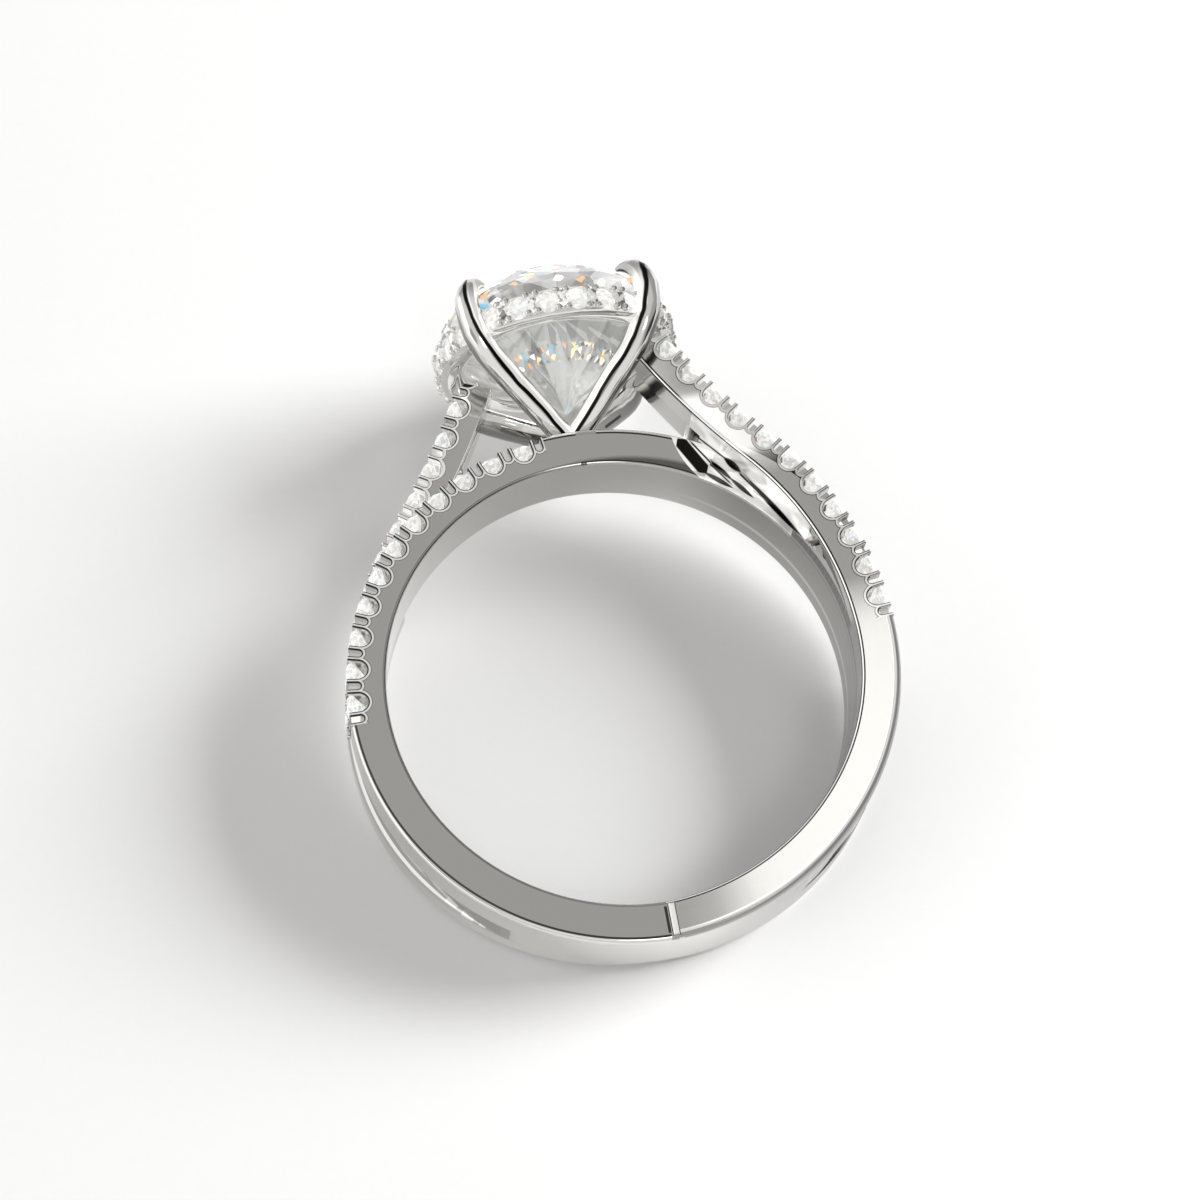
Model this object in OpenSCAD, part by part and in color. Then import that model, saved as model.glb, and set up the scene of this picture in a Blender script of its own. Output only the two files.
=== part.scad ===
// Hidden halo diamond ring with a crossed split shank, lying on its side.
// The ring is first drawn in a frame of its own: the finger axis is Z, the head points to +Y,
// and a half turn about Y brings each half of the ring onto the other. It is then laid down.

/* [Shank] */
// Radius of the finger hole
finger_r = 8.26; // [8.1:0.02:8.4]
// Radial thickness of the shank
shank_t = 1.39; // [1.3:0.01:1.45]
// Width of the low band along the finger
band_w = 2.72; // [2.6:0.02:2.9]
// How far a high strand swings outward for each mm to the side
flare = 0.175; // [0.15:0.005:0.2]
// Width of a high strand
strand_w = 1.24; // [1.2:0.01:1.3]
// Radius of the long curve on which a high strand leaves the circle
rise_r = 13.25; // [13:0.05:13.5]
// Angle of that curve before it turns up to the head
rise_deg = 38; // [37:0.5:39]
// Radius of the counter curve that reaches the head
sweep_r = 28; // [27:0.5:30]

/* [Side stones] */
// Girdle radius of a stone in the shank
side_stone_r = 0.54; // [0.5:0.01:0.55]
// Stones in each row
row_count = 11; // [9:1:11]
// Angle between the stones on the low band
low_pitch_deg = 7.5; // [7.4:0.05:7.6]
// Angle from the head to the first stone on the low band
low_first_deg = 12.4; // [12.3:0.05:12.5]
// Distance between the stones on a high strand
high_pitch = 1.26; // [1.24:0.01:1.28]
// Distance along a high strand from its widest point to its lowest stone
high_first = 1.16; // [1.14:0.01:1.18]

/* [Head] */
// Girdle radius of the centre stone
centre_r = 4.2; // [4.1:0.02:4.25]
// Height of the girdle above the finger axis
girdle_h = 14.55; // [14.5:0.01:14.6]
// Radius of the middle of the halo collar
collar_r = 3.95; // [3.93:0.01:3.97]
// Radius of the collar's round section
collar_section_r = 0.6; // [0.58:0.01:0.62]
// Height of the collar's middle above the finger axis
collar_h = 13.475; // [13.45:0.005:13.5]
// Stones of the halo in each quarter, between two claws
halo_quarter = 6; // [5:1:6]
// Angle between the halo stones
halo_pitch_deg = 14.4; // [14.4:0.1:14.6]
// Girdle radius of a halo stone
halo_stone_r = 0.47; // [0.44:0.01:0.47]
// Radius of a claw's round wire
claw_r = 0.42; // [0.4:0.01:0.44]

/* [Hidden] */
$fn = 72;
big = 60;
outer_r = finger_r + shank_t;
half_w = band_w / 2;

// the groove between the low band and the high strand opens as it nears the head
groove_r = 8.815;
groove_drop = 0.992;
groove_wall_low = 0.1;
groove_wall_high = 1.3;
bridge_half = 3.45;

// the curves of a high strand
rise_x = outer_r - rise_r;
sweep_x = rise_x + (rise_r + sweep_r) * cos(rise_deg);
sweep_y = (rise_r + sweep_r) * sin(rise_deg);
rise_len = rise_r * rise_deg * PI / 180;
strand_top = collar_h - 0.25;

// stones: share of the girdle radius
table_share = 0.57;
crown_share = 0.335;
girdle_share = 0.025;
pavilion_share = 0.86;
seat_gap = 0.04;
side_stone_sink = 0.17;
seat_depth = 0.62;
slot_r = 0.35;
slot_depth = 0.66;
low_row_z = half_w - strand_w / 2;

// the halo stones sit in the collar's round outside
halo_stone_sink = 0.34;
halo_girdle_r = collar_r + collar_section_r - halo_stone_sink;
halo_seat_depth = 0.5;

// a claw: a straight stem, a bend and a tapered tip leaning on the crown
claw_slope = 34.6;
claw_foot_h = 9.7;
claw_knee_r = 3.87;
claw_bend_r = 2.15;
claw_knee_h = claw_foot_h + claw_knee_r * tan(claw_slope);
claw_top_r = claw_knee_r + claw_bend_r * (1 - sin(claw_slope));
claw_top_h = claw_knee_h + claw_bend_r * cos(claw_slope);
claw_lean = [4.5, 14.85];
claw_lean_r = 0.37;
claw_tip = [3.7, 15.3];
claw_tip_r = 0.2;
joint_swell = 0.02;

// the ring lies on the far side of its halo and on two places of the shank's foot, where the
// left one is on the strand that swings outward
foot_deg = 143.5;
rest_halo = [0, collar_h, -(collar_r + collar_section_r)];
rest_left = [-outer_r * sin(foot_deg), outer_r * cos(foot_deg),
    -half_w - flare * outer_r * sin(foot_deg)];
rest_right = [outer_r * sin(foot_deg), outer_r * cos(foot_deg), -half_w];
rest_normal = cross(rest_left - rest_right, rest_halo - rest_right);
up = rest_normal / norm(rest_normal) * sign(rest_normal[2]);
lift = -(up * rest_halo);
lay_angle = acos(up[2]);
lay_axis = cross(up, [0, 0, 1]);

// once it lies, the ring reaches from the near edge of its foot to the far edge of the table,
// and the frame's origin is under the middle of that
function laid_y(p) = p[1] - up[1] * (p[2] + (up[0] * p[0] + up[1] * p[1]) / (1 + up[2]));
middle = (laid_y([0, -outer_r, half_w])
    + laid_y([0, girdle_h + centre_r * crown_share, -centre_r * table_share])) / 2;

// Turns the ring from its own frame to where it lies
module laid() {
    translate([0, -middle, lift]) rotate(a = lay_angle, v = lay_axis) children();
}

// The other half of the ring: the same, turned half about the head's axis
module half_turn(far) {
    rotate([0, far ? 180 : 0, 0]) children();
}

// Stands a shape that is drawn about Z on the head's axis
module on_head() {
    rotate([-90, 0, 0]) children();
}

// Everything on the near side of the plane z = level + flare * x
module above_plane(level) {
    translate([0, 0, level]) rotate([0, -atan(flare), 0])
        translate([-big / 2, -big / 2, 0]) cube([big, big, big]);
}

// Point and outward angle on the outside of a high strand, at a distance along it
function high_angle(s) = s < rise_len ? s / rise_r * 180 / PI
    : rise_deg - (s - rise_len) / sweep_r * 180 / PI;
function high_point(s) = let(a = high_angle(s))
    s < rise_len ? [rise_x + rise_r * cos(a), rise_r * sin(a)]
    : [sweep_x - sweep_r * cos(a), sweep_y - sweep_r * sin(a)];
function low_deg(i) = low_first_deg + i * low_pitch_deg;
function high_s(i) = high_first + i * high_pitch;

// Side outline of a high strand, from the foot of the ring up to the head
module high_outline() {
    intersection() {
        difference() {
            circle(r = outer_r, $fn = 144);
            circle(r = finger_r, $fn = 144);
        }
        translate([0, -big]) square([big, big]);
    }
    intersection() {
        translate([rise_x, 0]) difference() {
            circle(r = rise_r, $fn = 144);
            circle(r = rise_r - shank_t, $fn = 144);
        }
        polygon([[rise_x, 0], [rise_x + big, 0],
            [rise_x + big * cos(rise_deg), big * sin(rise_deg)]]);
    }
    intersection() {
        translate([sweep_x, sweep_y]) difference() {
            circle(r = sweep_r + shank_t, $fn = 288);
            circle(r = sweep_r, $fn = 288);
        }
        polygon([[rise_x, 0], [sweep_x, sweep_y], [sweep_x, strand_top], [rise_x, strand_top]]);
    }
}

// High strand between its two leaning side planes
module high_strand() {
    difference() {
        linear_extrude(height = 4) high_outline();
        above_plane(half_w);
        difference() {
            translate([-big / 2, -big / 2, -big / 2]) cube([big, big, big]);
            above_plane(half_w - strand_w);
        }
    }
}

// Floor of the groove, which joins the high strand to the low band
module groove_floor() {
    intersection() {
        difference() {
            intersection() {
                translate([0, -groove_drop, 0]) cylinder(r = groove_r, h = 3, $fn = 144);
                cylinder(r = outer_r, h = 3, $fn = 144);
            }
            above_plane(half_w - strand_w / 2);
        }
        translate([0, -big / 2, 0]) cube([big, big, big]);
    }
}

// What is cut from the low band beside a high strand
module groove_cut() {
    difference() {
        translate([bridge_half, -big / 2, groove_wall_low]) cube([big, big, half_w]);
        translate([0, -groove_drop, -1]) cylinder(r = groove_r, h = 5, $fn = 144);
        translate([0, 0, groove_wall_low]) cylinder(
            h = groove_wall_high - groove_wall_low, r1 = outer_r, r2 = finger_r, $fn = 144);
    }
}

module low_band() {
    difference() {
        translate([0, 0, -half_w]) cylinder(r = outer_r, h = band_w, $fn = 144);
        groove_cut();
        half_turn(true) groove_cut();
    }
}

// Places a shape at every stone of a low row, its outside along +X
module along_low_row() {
    for (i = [0 : row_count - 1])
        rotate([0, 0, 90 + low_deg(i)]) translate([outer_r, 0, low_row_z]) children();
}

// Places a shape at every stone of a high row
module along_high_row() {
    for (i = [0 : row_count - 1]) {
        p = high_point(high_s(i));
        translate([p[0], p[1], half_w - strand_w / 2 + flare * p[0]])
            rotate([0, 0, high_angle(high_s(i))]) children();
    }
}

// Seat of one side stone: a round pocket, and a notch with a round bottom across the strand
module side_seat() {
    translate([-seat_depth, 0, 0]) rotate([0, 90, 0])
        cylinder(r = side_stone_r + seat_gap, h = 2, $fn = 36);
    translate([-slot_depth + slot_r, 0, -strand_w]) {
        cylinder(r = slot_r, h = 2 * strand_w, $fn = 36);
        translate([0, -slot_r, 0]) cube([2, 2 * slot_r, 2 * strand_w]);
    }
}

module collar() {
    difference() {
        translate([0, 0, collar_h]) rotate_extrude($fn = 144)
            translate([collar_r, 0]) circle(r = collar_section_r);
        at_halo_stones() translate([0, 0, -halo_seat_depth])
            cylinder(r = halo_stone_r + seat_gap, h = 2, $fn = 36);
    }
}

// Places a shape at every halo stone, its table outward along +Z
module at_halo_stones() {
    for (quarter = [0 : 3], i = [0 : halo_quarter - 1])
        rotate([0, 0, 90 * quarter + (i - (halo_quarter - 1) / 2) * halo_pitch_deg])
            translate([halo_girdle_r, 0, collar_h]) rotate([0, 90, 0]) children();
}

// A round rod between two points of the claw's own plane, given as [radius, height]
module claw_rod(from, to, from_r, to_r) {
    step = to - from;
    translate([from[0], 0, from[1]]) rotate([0, 90 - atan2(step[1], step[0]), 0])
        cylinder(h = norm(step), r1 = from_r, r2 = to_r, $fn = 36);
}

// A ball that rounds the joint of two rods
module claw_joint(at, r) {
    translate([at[0], 0, at[1]]) sphere(r = r + joint_swell, $fn = 36);
}

module claw() {
    claw_rod([0, claw_foot_h], [claw_knee_r, claw_knee_h], claw_r, claw_r);
    claw_joint([claw_knee_r, claw_knee_h], claw_r);
    translate([claw_knee_r - claw_bend_r * sin(claw_slope), 0,
        claw_knee_h + claw_bend_r * cos(claw_slope)])
        rotate([90, 0, 0]) rotate([0, 0, claw_slope - 90])
            rotate_extrude(angle = 90 - claw_slope, $fn = 144)
                translate([claw_bend_r, 0]) circle(r = claw_r, $fn = 36);
    claw_joint([claw_top_r, claw_top_h], claw_r);
    claw_rod([claw_top_r, claw_top_h], claw_lean, claw_r, claw_lean_r);
    claw_joint(claw_lean, claw_lean_r);
    claw_rod(claw_lean, claw_tip, claw_lean_r, claw_tip_r);
    claw_joint(claw_tip, claw_tip_r);
}

// Room for the centre stone inside the collar and under the claws
module stone_room() {
    crown = centre_r * crown_share;
    pavilion = centre_r * pavilion_share;
    edge = centre_r * girdle_share;
    reach = centre_r + seat_gap;
    translate([0, 0, girdle_h]) rotate_extrude($fn = 144) polygon([
        [0, -pavilion - 2 * seat_gap], [reach, -edge - seat_gap], [reach, edge + seat_gap],
        [centre_r * table_share, crown + seat_gap], [0, crown + seat_gap]]);
}

module ring_mount() {
    color("#d9d8d6") laid() difference() {
        union() {
            low_band();
            for (far = [false, true]) half_turn(far) {
                high_strand();
                groove_floor();
            }
            on_head() {
                collar();
                for (quarter = [0 : 3]) rotate([0, 0, 45 + 90 * quarter]) claw();
            }
        }
        cylinder(r = finger_r, h = big, center = true, $fn = 144);
        on_head() stone_room();
        for (far = [false, true]) half_turn(far) {
            along_low_row() side_seat();
            along_high_row() side_seat();
        }
    }
}

// Corner of a cut stone: share of the girdle radius, height and angle
function corner(r, h, deg) = [r * cos(deg), r * sin(deg), h];

// A small stone with a table, sixteen crown facets and eight pavilion facets, girdle at z = 0
module small_stone(r) {
    ring = [for (i = [0 : 7]) i];
    points = concat(
        [for (i = ring) corner(r * table_share, r * crown_share, 45 * i + 22.5)],
        [for (i = ring) corner(r, r * girdle_share, 45 * i)],
        [for (i = ring) corner(r, -r * girdle_share, 45 * i)],
        [[0, 0, -r * pavilion_share]]);
    faces = concat(
        [[for (i = ring) 7 - i]],
        [for (i = ring) [i, 8 + (i + 1) % 8, 8 + i]],
        [for (i = ring) [i, (i + 1) % 8, 8 + (i + 1) % 8]],
        [for (i = ring) [8 + i, 8 + (i + 1) % 8, 16 + (i + 1) % 8, 16 + i]],
        [for (i = ring) [16 + i, 16 + (i + 1) % 8, 24]]);
    polyhedron(points = points, faces = faces, convexity = 2);
}

// The centre stone, a round brilliant with its girdle at z = 0
module brilliant(r) {
    n = 8;
    half = 180 / n;
    table_r = r * table_share;
    table_z = r * crown_share;
    edge = r * girdle_share;
    deep = r * pavilion_share;
    star_r = (table_r * cos(half) + r) / 2;
    star_z = table_z - (star_r * cos(half) - table_r) * (table_z - edge) / (r - table_r);
    low_r = 0.23 * r;
    low_z = low_r * cos(half) * (deep - edge) / r - deep;
    table = 0;
    star = n;
    top = 2 * n;
    bottom = 4 * n;
    low = 6 * n;
    culet = 7 * n;
    ring = [for (i = [0 : n - 1]) i];
    points = concat(
        [for (i = ring) corner(table_r, table_z, 2 * half * i)],
        [for (i = ring) corner(star_r, star_z, 2 * half * i + half)],
        [for (i = [0 : 2 * n - 1]) corner(r, edge, half * i)],
        [for (i = [0 : 2 * n - 1]) corner(r, -edge, half * i)],
        [for (i = ring) corner(low_r, low_z, 2 * half * i + half)],
        [[0, 0, -deep]]);
    faces = concat(
        [[for (i = ring) table + n - 1 - i]],
        [for (i = ring) [table + i, table + (i + 1) % n, star + i]],
        [for (i = ring) [table + i, star + i, top + 2 * i, star + (i + n - 1) % n]],
        [for (i = ring) [star + i, top + 2 * i + 1, top + 2 * i]],
        [for (i = ring) [star + i, top + (2 * i + 2) % (2 * n), top + 2 * i + 1]],
        [for (i = [0 : 2 * n - 1]) [top + i, top + (i + 1) % (2 * n),
            bottom + (i + 1) % (2 * n), bottom + i]],
        [for (i = ring) [bottom + 2 * i, bottom + 2 * i + 1, low + i]],
        [for (i = ring) [bottom + 2 * i + 1, bottom + (2 * i + 2) % (2 * n), low + i]],
        [for (i = ring) [bottom + 2 * i, low + i, culet, low + (i + n - 1) % n]]);
    polyhedron(points = points, faces = faces, convexity = 2);
}

module centre_stone() {
    color("#f2f4f7") laid() on_head() translate([0, 0, girdle_h]) brilliant(centre_r);
}

module halo_stones() {
    color("#eef1f6") laid() on_head() at_halo_stones() small_stone(halo_stone_r);
}

module low_row(far) {
    color("#eef1f6") laid() half_turn(far) along_low_row()
        translate([-side_stone_sink, 0, 0]) rotate([0, 90, 0]) small_stone(side_stone_r);
}

module high_row(far) {
    color("#eef1f6") laid() half_turn(far) along_high_row()
        translate([-side_stone_sink, 0, 0]) rotate([0, 90, 0]) small_stone(side_stone_r);
}

ring_mount();
centre_stone();
halo_stones();
low_row(false);  // low_row_near
high_row(false);  // high_row_near
low_row(true);  // low_row_far
high_row(true);  // high_row_far
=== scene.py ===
"""Hidden halo diamond ring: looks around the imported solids.

Shapes are made in millimetres in the ring's own frame, where the finger axis is Z and the head
points to +Y, and are laid down with TO_FRAME. A half turn about Y brings each half of the ring
onto the other, so each part of a half is made once and turned.
"""
import math

import bmesh
import bpy
from mathutils import Matrix, Vector


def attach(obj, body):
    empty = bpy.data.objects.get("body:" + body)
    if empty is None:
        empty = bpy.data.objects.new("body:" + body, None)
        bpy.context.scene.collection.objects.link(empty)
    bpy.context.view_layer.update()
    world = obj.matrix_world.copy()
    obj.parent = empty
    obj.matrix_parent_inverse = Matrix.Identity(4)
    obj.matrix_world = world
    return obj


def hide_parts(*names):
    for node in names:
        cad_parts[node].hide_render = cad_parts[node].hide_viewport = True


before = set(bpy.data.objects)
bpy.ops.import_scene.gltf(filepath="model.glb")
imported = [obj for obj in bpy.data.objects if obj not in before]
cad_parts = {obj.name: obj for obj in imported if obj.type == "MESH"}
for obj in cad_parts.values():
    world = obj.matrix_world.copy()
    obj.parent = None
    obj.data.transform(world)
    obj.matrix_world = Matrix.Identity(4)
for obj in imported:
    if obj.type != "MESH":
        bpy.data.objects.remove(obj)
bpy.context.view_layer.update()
scene = bpy.context.scene

# the ring's sizes in millimetres and degrees, as in the solids
FINGER_R = 8.26
OUTER_R = 9.65
SHANK_T = OUTER_R - FINGER_R
HALF_W = 1.36
FLARE = 0.175
STRAND_W = 1.24
RISE_R = 13.25
RISE = math.radians(38)
SWEEP_R = 28.0
STRAND_TOP = 13.225
ROW_COUNT = 11
LOW_PITCH = math.radians(7.5)
LOW_FIRST = math.radians(12.4)
HIGH_PITCH = 1.26
HIGH_FIRST = 1.16
COLLAR_R = 3.95
COLLAR_SECTION_R = 0.6
COLLAR_H = 13.475
HALO_QUARTER = 6
HALO_PITCH = math.radians(14.4)
GROOVE_R = 8.815
GROOVE_DROP = 0.992
GROOVE_LOW = 0.1
GROOVE_HIGH = 1.36
BRIDGE_HALF = 3.45

# how the ring lies: its own up direction, its lift and its shift along the table
UP = Vector((-0.086482, 0.125115, 0.988366))
LIFT = 2.811
MIDDLE = 3.193
LAID = UP.rotation_difference(Vector((0, 0, 1))).to_matrix()
TO_FRAME = (Matrix.Scale(0.001, 4) @ Matrix.Translation((0, -MIDDLE, LIFT))
            @ LAID.to_4x4())
HALF_TURN = Matrix.Rotation(math.pi, 4, "Y")
ON_HEAD = Matrix.Rotation(-math.pi / 2, 4, "X")


# camera: as fitted to the photo, its axes and its shift in the ring's own frame
CAMERA_AXES = Matrix(((0.98138, -0.17528, 0.0786),
                      (0.13304, 0.91533, 0.3801),
                      (-0.13857, -0.36256, 0.9216)))
CAMERA_SHIFT = Vector((0.6715, -3.2097, -106.5227))
CAMERA_LENS, CAMERA_FILM = 90, 36


def add_camera():
    camera = bpy.data.objects.new("camera", bpy.data.cameras.new("camera"))
    scene.collection.objects.link(camera)
    turn = CAMERA_AXES.transposed()
    pose = (LAID @ turn).to_4x4()
    pose.translation = TO_FRAME @ -(turn @ CAMERA_SHIFT)
    camera.matrix_world = pose
    camera.data.lens = CAMERA_LENS
    camera.data.sensor_width = CAMERA_FILM
    camera.data.clip_start = 0.001
    scene.camera = camera


add_camera()


# mesh helpers
WELD = 1e-5
TOUCH = 1e-4
CLEAR = 20  # well outside the ring


def as_object(bm, name="part"):
    mesh = bpy.data.meshes.new(name)
    bm.to_mesh(mesh)
    bm.free()
    made = bpy.data.objects.new(name, mesh)
    scene.collection.objects.link(made)
    return made


def cut(body, tool, operation="DIFFERENCE"):
    """Applies one boolean to the object body and uses up the object tool."""
    step = body.modifiers.new("cut", "BOOLEAN")
    step.object = tool
    step.operation = operation
    step.solver = "EXACT"
    bpy.context.view_layer.update()
    seen = body.evaluated_get(bpy.context.evaluated_depsgraph_get())
    mesh = bpy.data.meshes.new_from_object(seen)
    body.modifiers.clear()
    old, body.data = body.data, mesh
    bpy.data.meshes.remove(old)
    used = tool.data
    bpy.data.objects.remove(tool)
    bpy.data.meshes.remove(used)


def as_bmesh(body):
    """Takes the mesh out of an object that is used up."""
    bm = bmesh.new()
    bm.from_mesh(body.data)
    used = body.data
    bpy.data.objects.remove(body)
    bpy.data.meshes.remove(used)
    return bm


def box(bm, low, high):
    """Adds a box between two corners and returns its vertices."""
    size = Vector(high) - Vector(low)
    middle = (Vector(high) + Vector(low)) / 2
    return bmesh.ops.create_cube(
        bm, size=1, matrix=Matrix.Translation(middle) @ Matrix.Diagonal((*size, 1)))["verts"]


def drum(bm, radius, low, high, top_radius=None, segments=192, turn=Matrix()):
    """Adds a closed drum or cone about the local Z axis."""
    bmesh.ops.create_cone(
        bm, cap_ends=True, segments=segments, radius1=radius,
        radius2=radius if top_radius is None else top_radius, depth=high - low,
        matrix=turn @ Matrix.Translation((0, 0, (low + high) / 2)))


def rounded(bm, edges, radius, segments=3):
    bmesh.ops.bevel(
        bm, geom=edges, offset=radius, offset_type="OFFSET", segments=segments, profile=0.5,
        affect="EDGES", clamp_overlap=False, material=-1)


def section(bm, low, high, outer_round, inner_round):
    """A flat rectangle in the XZ plane from low to high, with its corners rounded.

    X is outward, so the corners at the greater X get outer_round."""
    face = bm.faces.new([bm.verts.new((x, 0, z)) for x, z in (
        (low[0], low[1]), (high[0], low[1]), (high[0], high[1]), (low[0], high[1]))])
    for outward, radius in ((True, outer_round), (False, inner_round)):
        corners = [v for v in face.verts if (v.co.x > (low[0] + high[0]) / 2) == outward]
        if radius:
            bmesh.ops.bevel(bm, geom=corners, offset=radius, segments=4, profile=0.5,
                            affect="VERTICES", clamp_overlap=False, material=-1)
        bm.faces.ensure_lookup_table()
        face = bm.faces[0]
    return face


def sweep(bm, face, stations):
    """Drags a section through its stations, each of which turns a point of the drawn section
    into one of the finished piece."""
    drawn = [v.co.copy() for v in face.verts]
    for i, station in enumerate(stations):
        if i:
            made = bmesh.ops.extrude_face_region(bm, geom=[face])["geom"]
            old = face
            face = next(f for f in made if isinstance(f, bmesh.types.BMFace))
            if i > 1:
                bmesh.ops.delete(bm, geom=[old], context="FACES_ONLY")
        for vertex, at in zip(face.verts, drawn):
            vertex.co = station(at)
    bmesh.ops.recalc_face_normals(bm, faces=bm.faces)


# the curve of a high strand
RISE_X = OUTER_R - RISE_R
RISE_LEN = RISE_R * RISE
SWEEP_X = RISE_X + (RISE_R + SWEEP_R) * math.cos(RISE)
SWEEP_Y = (RISE_R + SWEEP_R) * math.sin(RISE)
HIGH_END = RISE_LEN + SWEEP_R * (RISE - math.asin((SWEEP_Y - STRAND_TOP) / SWEEP_R))
HIGH_START = -OUTER_R * math.pi / 2


def high_place(s):
    """Point on the outside of a high strand at a distance s from its widest point, and the
    angle of its outward direction from X."""
    if s < 0:
        a = s / OUTER_R
        return Vector((OUTER_R * math.cos(a), OUTER_R * math.sin(a), 0)), a
    if s < RISE_LEN:
        a = s / RISE_R
        return Vector((RISE_X + RISE_R * math.cos(a), RISE_R * math.sin(a), 0)), a
    a = RISE - (s - RISE_LEN) / SWEEP_R
    return Vector((SWEEP_X - SWEEP_R * math.cos(a), SWEEP_Y - SWEEP_R * math.sin(a), 0)), a


def along_high(s, height, across):
    """Bends a straight strand onto a high strand. across is 0 on its far side."""
    at, a = high_place(s)
    point = at + height * Vector((math.cos(a), math.sin(a), 0))
    point.z = HALF_W - STRAND_W + across + FLARE * point.x
    return point


def along_low(s, height, across):
    """Bends a straight strand onto the low band's left side, its first stone at s = 0."""
    a = LOW_FIRST + s / OUTER_R
    r = OUTER_R + height
    return Vector((-r * math.sin(a), r * math.cos(a), across - GROOVE_LOW))


# rails: the outer part of a strand, cut for its row of stones
RAIL_DEPTH = 0.9
RAIL_STEP = 0.3
BIG_CUT_W, BIG_CUT_DEPTH = 0.70, 0.73
SMALL_CUT_W, SMALL_CUT_DEPTH = 0.25, 0.50
CUT_BOTTOM = 0.49  # the rounding of a cut's bottom, as a share of its width
POCKET_R, POCKET_DEPTH = 0.5, 0.5
BLIND = 0.38  # how far a small cut reaches in from each side before it meets metal
BLIND_TOP = 0.07
SIDE_ZONE = 0.1
TIP_ROUND = 0.06
RIM_ROUND = 0.05
# how much painted shade, with some roughness, and how much painted light the walls of the cuts and
# their blind middles get
CUT_LOOKS = (0.22, 0.08)
BLIND_LOOKS = (0.2, 0.32)


def u_cut(bm, s, width, depth, across):
    """Adds a cutter with a round bottom that crosses the rail at s."""
    made = box(bm, (s - width / 2, -depth, -1), (s + width / 2, 1, across + 1))
    bottom = [e for e in {e for v in made for e in v.link_edges}
              if all(v.co.y < 0 for v in e.verts)
              and abs(e.verts[0].co.z - e.verts[1].co.z) > 1]
    rounded(bm, bottom, width * CUT_BOTTOM, segments=7)


def rail(pitch, across, middle, start, end, bend):
    """A rail in straight space, X along it, Y its height and Z across, and then bent."""
    body = bmesh.new()
    box(body, (start, -RAIL_DEPTH, 0), (end, 0, across))
    body = as_object(body)
    tool = bmesh.new()
    for i in range(ROW_COUNT):
        u_cut(tool, i * pitch, BIG_CUT_W, BIG_CUT_DEPTH, across)
    for i in range(ROW_COUNT + 1):
        u_cut(tool, (i - 0.5) * pitch, SMALL_CUT_W, SMALL_CUT_DEPTH, across)
    cut(body, as_object(tool))
    bm = as_bmesh(body)

    def lies_on(edge, axis, level):
        return all(abs(v.co[axis] - level) < TOUCH for v in edge.verts)

    def at_end(edge):
        return lies_on(edge, 0, start) or lies_on(edge, 0, end)

    tips = [e for e in bm.edges if lies_on(e, 1, 0) and not at_end(e)
            and abs(e.verts[0].co.z - e.verts[1].co.z) > 0.5]
    rounded(bm, tips, TIP_ROUND, segments=3)
    rims = [e for e in bm.edges if (lies_on(e, 2, 0) or lies_on(e, 2, across))
            and not lies_on(e, 1, -RAIL_DEPTH) and not at_end(e)]
    rounded(bm, rims, RIM_ROUND, segments=3)
    body = as_object(bm)
    tool = bmesh.new()
    for i in range(ROW_COUNT):
        drum(tool, POCKET_R, -POCKET_DEPTH, 1, segments=24,
             turn=Matrix.Translation((i * pitch, 0, middle)) @ ON_HEAD)
    cut(body, as_object(tool))
    bm = as_bmesh(body)
    for i in range(ROW_COUNT + 1):
        at, half = (i - 0.5) * pitch, SMALL_CUT_W / 2 + 0.01
        box(bm, (at - half, -SMALL_CUT_DEPTH - 0.02, BLIND), (at + half, -BLIND_TOP, across - BLIND))
    bm.normal_update()
    dull, rim, glow = (bm.faces.layers.float.new(key) for key in ("dull", "rim", "glow"))
    # rim marks where the painted lines round the cuts go; the walls and blind middles get painted
    # shade and painted light
    for face in bm.faces:
        place = face.calc_center_median()
        on_side = min(place.z, across - place.z) < SIDE_ZONE
        face[rim] = 1.0 if abs(face.normal.z) > 0.2 and on_side else 0.0
        if abs(face.normal.z) < 0.2 and -RAIL_DEPTH + 0.01 < place.y < -0.03:
            face[dull], face[glow] = CUT_LOOKS
        elif abs(face.normal.z) > 0.9 and not on_side:
            face[dull], face[glow] = BLIND_LOOKS
    steps = int((end - start) / RAIL_STEP)
    for i in range(1, steps):
        bmesh.ops.bisect_plane(
            bm, geom=bm.verts[:] + bm.edges[:] + bm.faces[:], dist=WELD,
            plane_co=(start + (end - start) * i / steps, 0, 0), plane_no=(1, 0, 0))
    layers = bm.verts.layers.float
    depth, along, height = (layers.new(key) for key in ("depth", "along", "height"))
    for v in bm.verts:
        v[depth] = across - v.co.z
        v[along] = v.co.x / pitch
        v[height] = v.co.y
        v.co = bend(*v.co)
    bmesh.ops.recalc_face_normals(bm, faces=bm.faces)
    return bm


LOW_ARC_PITCH = OUTER_R * LOW_PITCH
LOW_ROW_LEN = (ROW_COUNT - 1) * LOW_ARC_PITCH
RAIL_MARGIN = 0.22
LOW_START = -LOW_ARC_PITCH / 2 - RAIL_MARGIN
LOW_END = LOW_ROW_LEN + LOW_ARC_PITCH / 2 + RAIL_MARGIN
HIGH_RAIL_START = HIGH_FIRST - HIGH_PITCH / 2 - RAIL_MARGIN
LOW_ROW_Z = HALF_W - STRAND_W / 2


def low_rail():
    return rail(LOW_ARC_PITCH, HALF_W + GROOVE_LOW, LOW_ROW_Z + GROOVE_LOW,
                LOW_START, LOW_END, along_low)


def high_rail():
    return rail(HIGH_PITCH, STRAND_W, STRAND_W / 2,
                HIGH_RAIL_START - HIGH_FIRST, HIGH_END - HIGH_FIRST,
                lambda s, h, across: along_high(s + HIGH_FIRST, h, across))


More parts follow.
